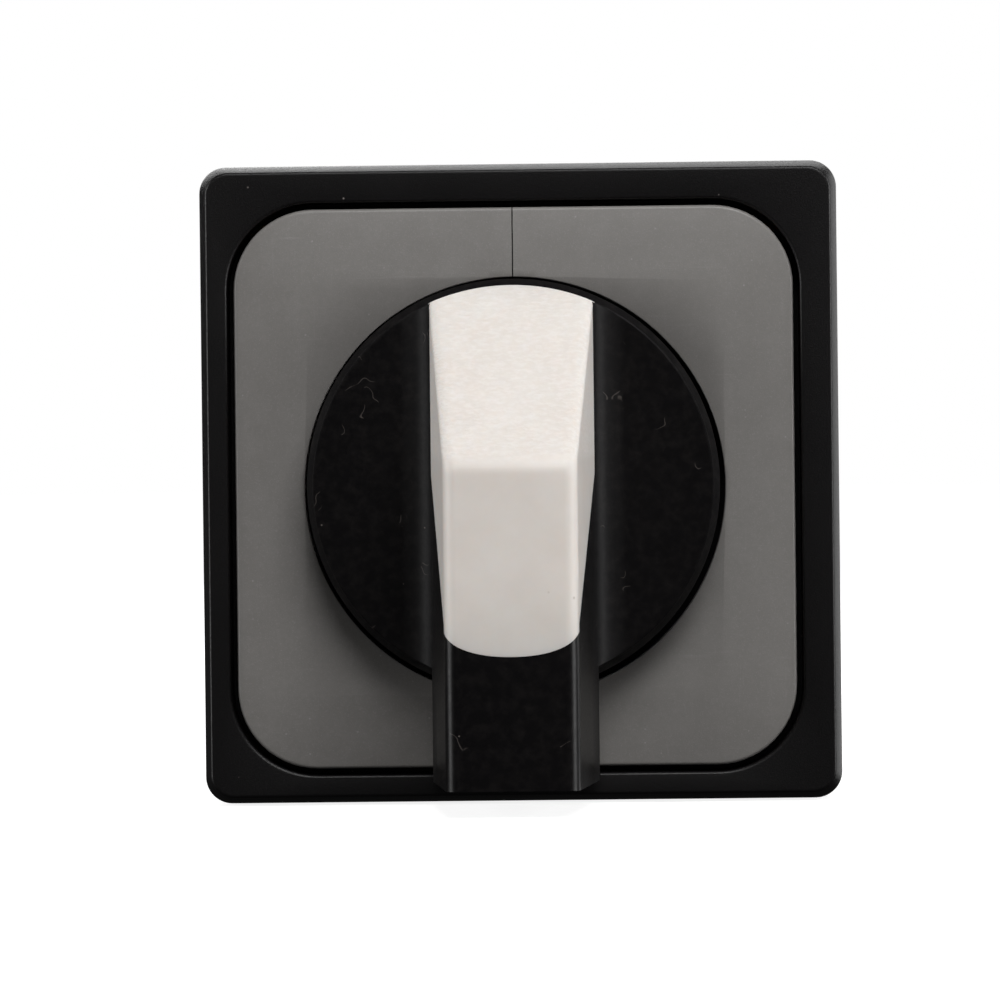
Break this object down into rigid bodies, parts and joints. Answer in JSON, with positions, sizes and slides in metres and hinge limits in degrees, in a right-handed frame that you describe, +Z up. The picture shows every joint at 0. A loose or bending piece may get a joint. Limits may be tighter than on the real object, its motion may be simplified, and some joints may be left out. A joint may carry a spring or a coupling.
{
  "type": "manual transfer switch",
  "caption": "Panel-mounted rotary changeover switch: square black bezel, grey plate, black knob with a white pointer insert, and a stack of cam-driven contact stages behind.",
  "frame": {"origin": "on the shaft's axis, in the plane of the panel's front, where the gasket meets the panel", "axes": "+Y along the shaft, into the panel; +X to the right and +Z up, seen from the front with the pointer up in the middle position"},
  "size_m": [0.0481, 0.082, 0.048],
  "materials": {
    "bezel_black": "fine-textured moulded black",
    "plate_grey": "satin grey with a fine grain",
    "knob_black": "smooth glossy black",
    "insert_white": "smooth white",
    "body_black": "fine-textured moulded black",
    "stage_grey": "fine-textured dark grey",
    "cam_white": "natural self-lubricating plastic",
    "seal_rubber": "matte black rubber",
    "zinc_steel": "zinc-plated",
    "spring_steel": "drawn wire and strip",
    "brass": "turned",
    "contact_copper": "stamped copper alloy"
  },
  "bodies": {
    "housing": {"bezel": "bezel_black", "front_plate": "plate_grey", "panel_gasket": "seal_rubber", "latch_housing": "body_black", "threaded_inserts": "brass", "thrust_washer": "zinc_steel", "stop_plate": "zinc_steel", "latch_cover": "body_black", "rear_cover": "body_black", "tie_screws": "zinc_steel", "detent_spring_left": "spring_steel", "detent_spring_right": "spring_steel", "stage_1_housing": "stage_grey", "stage_1_contacts": "contact_copper", "stage_1_clamps": "zinc_steel", "stage_1_terminal_screws": "zinc_steel", "stage_1_spring_left": "spring_steel", "stage_1_spring_right": "spring_steel", "stage_2_housing": "stage_grey", "stage_2_contacts": "contact_copper", "stage_2_clamps": "zinc_steel", "stage_2_terminal_screws": "zinc_steel", "stage_2_spring_left": "spring_steel", "stage_2_spring_right": "spring_steel", "stage_3_housing": "stage_grey", "stage_3_contacts": "contact_copper", "stage_3_clamps": "zinc_steel", "stage_3_terminal_screws": "zinc_steel", "stage_3_spring_left": "spring_steel", "stage_3_spring_right": "spring_steel"},
    "rotor": {"knob_body": "knob_black", "pointer_insert": "insert_white", "knob_screw": "zinc_steel", "shaft_seal": "seal_rubber", "drive_shaft": "zinc_steel", "detent_wheel": "cam_white", "stage_1_cam": "cam_white", "stage_2_cam": "cam_white", "stage_3_cam": "cam_white"},
    "stage_1_carrier_left": {"stage_1_plunger_left": "cam_white", "stage_1_bridge_left": "contact_copper"},
    "stage_1_carrier_right": {"stage_1_plunger_right": "cam_white", "stage_1_bridge_right": "contact_copper"},
    "stage_2_carrier_left": {"stage_2_plunger_left": "cam_white", "stage_2_bridge_left": "contact_copper"},
    "stage_2_carrier_right": {"stage_2_plunger_right": "cam_white", "stage_2_bridge_right": "contact_copper"},
    "stage_3_carrier_left": {"stage_3_plunger_left": "cam_white", "stage_3_bridge_left": "contact_copper"},
    "stage_3_carrier_right": {"stage_3_plunger_right": "cam_white", "stage_3_bridge_right": "contact_copper"}
  },
  "joints": [
    {"name": "knob_turn", "type": "hinge", "parent": "housing", "child": "rotor", "pos_m": [0, 0, 0], "axis": [0, 1, 0], "range_deg": [-60, 60], "deforming": ["detent_spring_left", "detent_spring_right"]},
    {"name": "stage_1_contact_left", "type": "slide", "parent": "housing", "child": "stage_1_carrier_left", "axis": [1, 0, 0], "range_m": [-0.00131, 0.00131], "deforming": ["stage_1_spring_left"]},
    {"name": "stage_1_contact_right", "type": "slide", "parent": "housing", "child": "stage_1_carrier_right", "axis": [1, 0, 0], "range_m": [-0.00131, 0.00131], "deforming": ["stage_1_spring_right"]},
    {"name": "stage_2_contact_left", "type": "slide", "parent": "housing", "child": "stage_2_carrier_left", "axis": [1, 0, 0], "range_m": [-0.00131, 0.00131], "deforming": ["stage_2_spring_left"]},
    {"name": "stage_2_contact_right", "type": "slide", "parent": "housing", "child": "stage_2_carrier_right", "axis": [1, 0, 0], "range_m": [-0.00131, 0.00131], "deforming": ["stage_2_spring_right"]},
    {"name": "stage_3_contact_left", "type": "slide", "parent": "housing", "child": "stage_3_carrier_left", "axis": [1, 0, 0], "range_m": [-0.00131, 0.00131], "deforming": ["stage_3_spring_left"]},
    {"name": "stage_3_contact_right", "type": "slide", "parent": "housing", "child": "stage_3_carrier_right", "axis": [1, 0, 0], "range_m": [-0.00131, 0.00131], "deforming": ["stage_3_spring_right"]}
  ],
  "couplings": [
    {"joint": "stage_1_contact_left", "follows": "knob_turn", "m_per_rad": 0.0012414},
    {"joint": "stage_1_contact_right", "follows": "knob_turn", "m_per_rad": 0.0012414},
    {"joint": "stage_2_contact_left", "follows": "knob_turn", "m_per_rad": 0.0012414},
    {"joint": "stage_2_contact_right", "follows": "knob_turn", "m_per_rad": 0.0012414},
    {"joint": "stage_3_contact_left", "follows": "knob_turn", "m_per_rad": 0.0012414},
    {"joint": "stage_3_contact_right", "follows": "knob_turn", "m_per_rad": 0.0012414}
  ]
}
